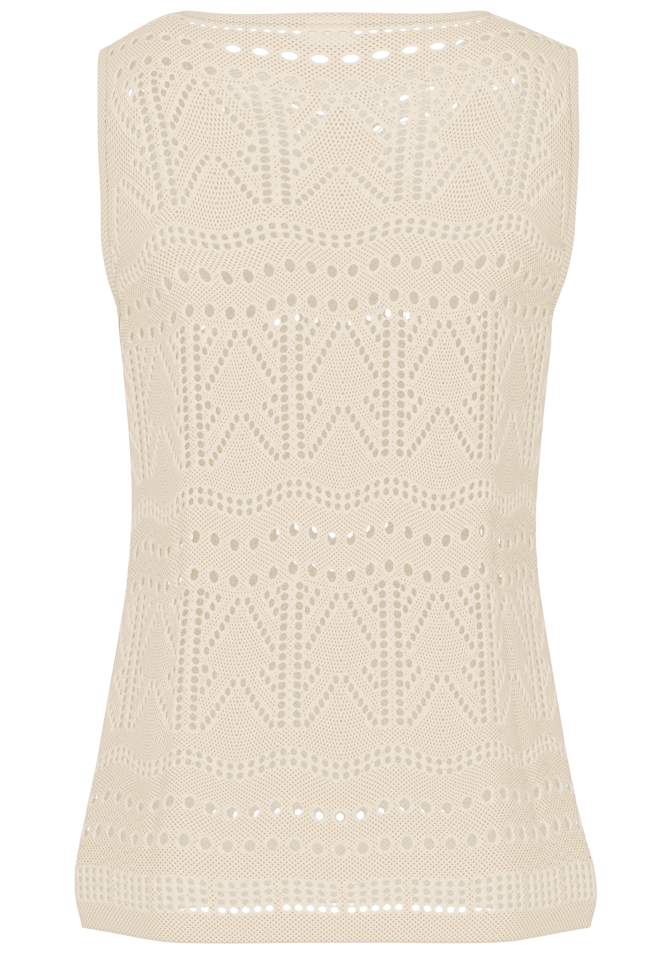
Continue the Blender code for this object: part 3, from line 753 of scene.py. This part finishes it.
def neck_band(name, front):
    """The double band along a neck edge, from shoulder to shoulder."""
    u_low, h_low = neck_seam(NECK_STEPS, 0.0)
    u_high = np.sin(np.linspace(-np.pi / 2, np.pi / 2, NECK_STEPS + 1)) * NECK_HALF
    f = np.linspace(0.0, 1.0, BAND_COLUMNS)
    u = (u_low[:, None] * (1 - f) + u_high[:, None] * f).ravel()
    h = (h_low[:, None] * (1 - f) + TOP * f).ravel()
    half = np.tile(band_half(f), NECK_STEPS + 1)
    chart = np.column_stack([u * REPEAT, h])
    triangles = strip_triangles(NECK_STEPS + 1, BAND_COLUMNS, False)
    marks = {"rim": np.zeros(len(u)), "backed": behind_cloth(chart, front)}
    return make_wall(name, cloth(u, h, front, half), cloth(u, h, front, -half), triangles, front,
                     chart, marks)


def arm_band(name, hand):
    """The double band round an armhole: hand is -1 on the left of the back view, 1 on the right."""
    f = np.linspace(0.0, 1.0, BAND_COLUMNS)
    layers = []
    for face in (1, -1):
        rings = []
        for across, half in zip(f, band_half(1 - f)):
            share, z = armhole(hand, ARM_BAND * across, ARM_STEPS)
            back = laid(share, z, False, face * half)
            fore = laid(share, z, True, face * half)
            for end in (0, -1):
                back[end] = (back[end] + fore[end]) / 2
            rings.append(np.concatenate([back, fore[-2:0:-1]]))
        layers.append(np.stack(rings, axis=1))
    outer, inner = layers
    rows = len(outer)
    steps = np.linalg.norm(np.diff(outer[:, 0], axis=0, append=outer[:1, 0]), axis=1)
    along = np.concatenate([[0.0], np.cumsum(steps)[:-1]])
    across = np.tile(f * ARM_BAND, (rows, 1))
    chart = np.stack([np.repeat(along[:, None], BAND_COLUMNS, 1), across], axis=-1)
    triangles = strip_triangles(rows, BAND_COLUMNS, True)
    return make_wall(name, outer.reshape(-1, 3), inner.reshape(-1, 3), triangles, hand > 0,
                     chart.reshape(-1, 2), {"rim": np.zeros(rows * BAND_COLUMNS)})


back_band = neck_band("back_neck_edge", False)
front_band = neck_band("front_neck_edge", True)
left_arm = arm_band("left_armhole_edge", -1)
right_arm = arm_band("right_armhole_edge", 1)

# %% [markdown]
# The label is a blank woven tape behind the back neck. It lies against the inside of the band, so
# it is made from the same chart, a little further in.

# %% Label
LABEL_IN = 1.6         # from the middle of the cloth to the face of the label
LABEL_WALL = 0.6
LABEL_ACROSS = 15
LABEL_UP = 10


def label(name):
    """A thin woven tape along the chart, inside the back."""
    x = np.linspace(-0.5, 0.5, LABEL_ACROSS) * LABEL_WIDTH + LABEL_MIDDLE
    up = np.linspace(LABEL_BOTTOM, LABEL_TOP, LABEL_UP)
    u = np.repeat(x / LABEL_REPEAT, LABEL_UP)
    h = np.tile(up, LABEL_ACROSS)
    triangles = strip_triangles(LABEL_ACROSS, LABEL_UP, False)
    outer = cloth(u, h, False, -LABEL_IN)
    inner = cloth(u, h, False, -LABEL_IN - LABEL_WALL)
    return make_wall(name, outer, inner, triangles, False, np.column_stack([u * REPEAT, h]))


woven_label = label("woven_label")

# %% [markdown]
# ## Yarn
#
# There are some forty thousand stitches, so they belong to the material. Knitted loops leave a
# lattice of small dark gaps. Two waves that cross each other make such a lattice: a gap lies
# wherever both waves are at their top. On the plain courses the waves lean left and right alike.
# In a leaf they are tighter, and they lean towards its middle, as its stitches do. The waves read
# the chart's UV map, folded at the middle of each leaf, so the stitches bend, stretch and mirror
# with the cloth.
#
# A shader has no formulas, only Math nodes. The small class below writes them from plain Python.

# %% Arithmetic as nodes
class Sums:
    """Writes arithmetic as Math nodes of one node tree."""

    def __init__(self, tree):
        self.tree = tree

    def math(self, operation, *values):
        node = self.tree.nodes.new("ShaderNodeMath")
        node.operation = operation
        for socket, value in zip(node.inputs, values):
            if isinstance(value, (int, float)):
                socket.default_value = value
            else:
                self.tree.links.new(value, socket)
        return node.outputs[0]

    def add(self, a, b):
        return self.math("ADD", a, b)

    def times(self, a, b):
        return self.math("MULTIPLY", a, b)

    def wave(self, turns):
        """A cosine that comes back to its top at every whole turn."""
        return self.math("COSINE", self.times(turns, 2 * math.pi))

    def between(self, a, b, share):
        """a where share is 0 and b where it is 1."""
        return self.add(self.times(a, self.math("SUBTRACT", 1.0, share)), self.times(b, share))

    def step(self, value, low, high):
        """0 below low and 1 above high, with soft ends."""
        node = self.tree.nodes.new("ShaderNodeMapRange")
        node.interpolation_type = "SMOOTHSTEP"
        node.inputs["From Min"].default_value = low
        node.inputs["From Max"].default_value = high
        self.tree.links.new(value, node.inputs["Value"])
        return node.outputs["Result"]


# %% The stitch group
PLAIN_ACROSS = 0.3125  # waves to a millimetre
PLAIN_UP = 0.3474
LEAF_ACROSS = 0.485
LEAF_UP_A = 0.302
LEAF_UP_B = 0.139
LEAF_MASK = 0.39       # half width of a leaf, in repeats
LEAF_MIDDLE = 58.5     # middle and half height of a leaf, in mm below the top of its band
LEAF_REACH = 53.5
GAP_FROM = -0.05       # heights of the summed waves between which a gap darkens
GAP_TO = 0.65
# Near an eyelet the loops are raised, lose their gaps and carry a painted highlight.
RIM_FROM = 0.15        # the rim mark between which the bright loops round an eyelet begin
RIM_TO = 0.9
RIM_RAISED = 0.6


def stitch_group():
    """Reads the chart and the rim mark, and gives the gaps between stitches, their relief and where
    a painted highlight rings an eyelet.
    """
    tree = bpy.data.node_groups.new("knit_stitches", "ShaderNodeTree")
    chart = tree.interface.new_socket("Chart", in_out="INPUT", socket_type="NodeSocketVector")
    chart.description = "chart position, in repeats"
    for name in ("Leaves", "Rim"):
        tree.interface.new_socket(name, in_out="INPUT", socket_type="NodeSocketFloat")
    for name in ("Gap", "Height", "PaintedHighlight"):
        tree.interface.new_socket(name, in_out="OUTPUT", socket_type="NodeSocketFloat")
    given = tree.nodes.new("NodeGroupInput")
    result = tree.nodes.new("NodeGroupOutput")
    sums = Sums(tree)
    parts = tree.nodes.new("ShaderNodeSeparateXYZ")
    tree.links.new(given.outputs["Chart"], parts.inputs[0])
    u = parts.outputs["X"]
    h = sums.times(parts.outputs["Y"], REPEAT)
    fold = sums.math("ABSOLUTE", sums.math("SUBTRACT", u, sums.math("ROUND", u)))
    x = sums.times(fold, REPEAT)
    leaf = sums.math("LESS_THAN", fold, LEAF_MASK)
    in_band = None
    for band in LEAF_BANDS:
        middle = band.top - band.scale * LEAF_MIDDLE
        here = sums.math("COMPARE", h, middle, band.scale * LEAF_REACH)
        in_band = here if in_band is None else sums.add(in_band, here)
    leaf = sums.times(sums.times(leaf, in_band), given.outputs["Leaves"])
    plain_a = sums.add(sums.times(x, PLAIN_ACROSS), sums.times(h, PLAIN_UP))
    plain_b = sums.math("SUBTRACT", sums.times(x, PLAIN_ACROSS), sums.times(h, PLAIN_UP))
    leaf_a = sums.add(sums.times(x, LEAF_ACROSS), sums.times(h, LEAF_UP_A))
    leaf_b = sums.math("SUBTRACT", sums.times(x, LEAF_ACROSS), sums.times(h, LEAF_UP_B))
    wave_a = sums.wave(sums.between(plain_a, leaf_a, leaf))
    wave_b = sums.wave(sums.between(plain_b, leaf_b, leaf))
    both = sums.times(sums.add(wave_a, wave_b), 0.5)
    gap = sums.step(both, GAP_FROM, GAP_TO)
    near = sums.step(given.outputs["Rim"], RIM_FROM, RIM_TO)
    gap = sums.times(gap, sums.math("SUBTRACT", 1.0, near))
    height = sums.math("SUBTRACT", sums.times(near, RIM_RAISED), both)
    tree.links.new(gap, result.inputs["Gap"])
    tree.links.new(height, result.inputs["Height"])
    # The rim mask also places the painted highlight round an eyelet.
    tree.links.new(near, result.inputs["PaintedHighlight"])
    return tree


stitches = stitch_group()
print("nodes in the stitch group:", len(stitches.nodes))

# %% [markdown]
# ## Materials
#
# The yarn is soft and pale, with a slight shine. Its colour goes from the crown of a stitch to
# the tan shadow in a gap, and the loops round an eyelet are lighter, as a painted highlight.
# A fine noise keeps the yarn from looking printed. The inside, seen only through the eyelets, is
# left plain and painted paler than the yarn: painted light for the dim inside of the top. Panels
# and bands share the group, with their own values.

# %% Yarn materials
YARN = (0.90, 0.66, 0.325)
SHADOW = (0.15, 0.075, 0.03)
# painted highlight: the yarn colour lightened for the loops round an eyelet
PAINTED_RIM_HIGHLIGHT = (0.93, 0.71, 0.38)
# painted light: a plain colour for the inside faces, paler than the yarn
PAINTED_INSIDE_LIGHT = (0.92, 0.80, 0.56)
FUZZ_SCALE = 900.0
FUZZ = 0.35            # how unevenly the gaps are filled with loose fibres
FUZZ_MIDDLE = 0.17
VEIL = 0.6             # how much the label hides the gaps before it
# how strongly the painted highlight lightens the loops round an eyelet
RIM_SHARE = 0.7
STITCH_RELIEF = 0.0004


def mix_colour(tree, factor, a, b):
    """A colour mix; a and b are colours or sockets."""
    node = tree.nodes.new("ShaderNodeMix")
    node.data_type = "RGBA"
    tree.links.new(factor, node.inputs["Factor"])
    for socket, value in ((node.inputs[6], a), (node.inputs[7], b)):
        if isinstance(value, tuple):
            socket.default_value = (*value, 1.0)
        else:
            tree.links.new(value, socket)
    return node.outputs[2]


def knit_material(name, leaves, gap_strength, bump):
    """Cream yarn with its stitches; leaves is 1 where the lace has leaves."""
    material = bpy.data.materials.new(name)
    material.use_nodes = True
    tree = material.node_tree
    shader = tree.nodes["Principled BSDF"]
    chart = tree.nodes.new("ShaderNodeUVMap")
    chart.uv_map = "chart"
    rim = tree.nodes.new("ShaderNodeAttribute")
    rim.attribute_name = "rim"
    backed = tree.nodes.new("ShaderNodeAttribute")
    backed.attribute_name = "backed"
    inside = tree.nodes.new("ShaderNodeAttribute")
    inside.attribute_name = "inside"
    group = tree.nodes.new("ShaderNodeGroup")
    group.node_tree = stitches
    group.inputs["Leaves"].default_value = leaves
    tree.links.new(chart.outputs["UV"], group.inputs["Chart"])
    tree.links.new(rim.outputs["Fac"], group.inputs["Rim"])
    sums = Sums(tree)
    place = tree.nodes.new("ShaderNodeTexCoord")
    uneven = tree.nodes.new("ShaderNodeTexNoise")
    uneven.inputs["Scale"].default_value = FUZZ_SCALE
    uneven.inputs["Detail"].default_value = 1.0
    tree.links.new(place.outputs["Object"], uneven.inputs["Vector"])
    fuzz = sums.times(uneven.outputs["Fac"], FUZZ)
    shown = sums.times(group.outputs["Gap"], sums.add(fuzz, gap_strength - FUZZ_MIDDLE))
    veil = sums.math("SUBTRACT", 1.0, sums.times(backed.outputs["Fac"], VEIL))
    colour = mix_colour(tree, sums.times(shown, veil), YARN, SHADOW)
    # Painted highlight: the loops round an eyelet are lightened.
    colour = mix_colour(tree, sums.times(group.outputs["PaintedHighlight"], RIM_SHARE), colour, PAINTED_RIM_HIGHLIGHT)
    # Painted light: the inside faces take a plain colour, paler than the yarn, for the dim inside.
    colour = mix_colour(tree, inside.outputs["Fac"], colour, PAINTED_INSIDE_LIGHT)
    tree.links.new(colour, shader.inputs["Base Color"])
    bumps = tree.nodes.new("ShaderNodeBump")
    bumps.inputs["Strength"].default_value = bump
    bumps.inputs["Distance"].default_value = STITCH_RELIEF
    tree.links.new(sums.add(group.outputs["Height"], sums.times(uneven.outputs["Fac"], 0.5)),
                   bumps.inputs["Height"])
    tree.links.new(bumps.outputs["Normal"], shader.inputs["Normal"])
    shader.inputs["Roughness"].default_value = 0.72
    shader.inputs["Metallic"].default_value = 0.0
    shader.inputs["Sheen Weight"].default_value = 0.15
    shader.inputs["Sheen Roughness"].default_value = 0.5
    return material


lace_knit = knit_material("lace_knit", 1.0, 0.95, 0.9)
band_knit = knit_material("band_knit", 0.0, 0.9, 0.9)
for piece in (back_panel, front_panel):
    piece.data.materials.append(lace_knit)
for piece in (back_band, front_band, left_arm, right_arm):
    piece.data.materials.append(band_knit)

label_tape = bpy.data.materials.new("label_tape")
label_tape.use_nodes = True
tape = label_tape.node_tree.nodes["Principled BSDF"]
tape.inputs["Base Color"].default_value = (0.90, 0.87, 0.80, 1.0)
tape.inputs["Roughness"].default_value = 0.6
woven_label.data.materials.append(label_tape)
print("materials:", [m.name for m in (lace_knit, band_knit, label_tape)])

# %% [markdown]
# ## Camera and light
#
# The photograph looks straight at the back of the top, level with its middle, on a white ground.
# A long lens from 1.9 m gives the same slight perspective. The ground and the sky are near white,
# and two broad lamps on either side of the camera leave the flanks a little darker than the face.

# %% Camera
camera_data = bpy.data.cameras.new("camera")
camera_data.sensor_fit = "VERTICAL"
camera_data.sensor_height = 24.0
camera_data.lens = 73.08
camera = bpy.data.objects.new("camera", camera_data)
camera.location = (-0.00065, -1.9, -0.2925)
camera.rotation_euler = (math.pi / 2, 0.0, 0.0)
bpy.context.scene.collection.objects.link(camera)
bpy.context.scene.camera = camera
print("camera lens:", camera_data.lens, "mm")


# %% Lamps, ground and sky
def lamp(name, place, size, power, colour):
    """A square soft lamp that looks at the middle of the top."""
    data = bpy.data.lights.new(name, "AREA")
    data.size = size
    data.energy = power
    data.color = colour
    item = bpy.data.objects.new(name, data)
    item.location = place
    aim = Vector((0.0, 0.0, -0.29)) - Vector(place)
    item.rotation_euler = aim.to_track_quat("-Z", "Y").to_euler()
    bpy.context.scene.collection.objects.link(item)


lamp("key_lamp", (-0.7, -2.4, 0.9), 1.6, 270.0, (1.0, 0.93, 0.73))
lamp("fill_lamp", (1.5, -2.0, -0.2), 1.6, 90.0, (1.0, 0.94, 0.76))

world = bpy.data.worlds.new("studio")
bpy.context.scene.world = world
world.use_nodes = True
sky = world.node_tree
warm = sky.nodes["Background"]
warm.inputs["Color"].default_value = (1.0, 0.94, 0.80, 1.0)
warm.inputs["Strength"].default_value = 1.35
white = sky.nodes.new("ShaderNodeBackground")
white.inputs["Color"].default_value = (1.0, 1.0, 1.0, 1.0)
white.inputs["Strength"].default_value = 20.0
seen = sky.nodes.new("ShaderNodeLightPath")
choice = sky.nodes.new("ShaderNodeMixShader")
sky.links.new(seen.outputs["Is Camera Ray"], choice.inputs[0])
sky.links.new(warm.outputs[0], choice.inputs[1])
sky.links.new(white.outputs[0], choice.inputs[2])
sky.links.new(choice.outputs[0], sky.nodes["World Output"].inputs["Surface"])

bpy.ops.object.select_all(action="DESELECT")
bpy.ops.mesh.primitive_plane_add(size=7.0, location=(0.0, 0.0, -1.25))
ground = bpy.context.object
ground.name = "ground"
paper = bpy.data.materials.new("paper")
paper.use_nodes = True
surface = paper.node_tree.nodes["Principled BSDF"]
surface.inputs["Base Color"].default_value = (0.95, 0.95, 0.95, 1.0)
surface.inputs["Roughness"].default_value = 0.9
ground.data.materials.append(paper)

# %% [markdown]
# ## The pieces and the frame
#
# Each piece hides the solid of the frame that it stands for, and rides on the one body of the
# part. The table also names the material that each piece was given above.

# %% What each piece is
PIECES = [
    (back_panel, "back_panel", "lace_knit"),
    (front_panel, "front_panel", "lace_knit"),
    (back_band, "back_neck_band", "band_knit"),
    (front_band, "front_neck_band", "band_knit"),
    (left_arm, "left_armhole_band", "band_knit"),
    (right_arm, "right_armhole_band", "band_knit"),
    (woven_label, "neck_label", "label_tape"),
]
for piece, node, finish in PIECES:
    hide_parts(node)
    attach(piece, "root")
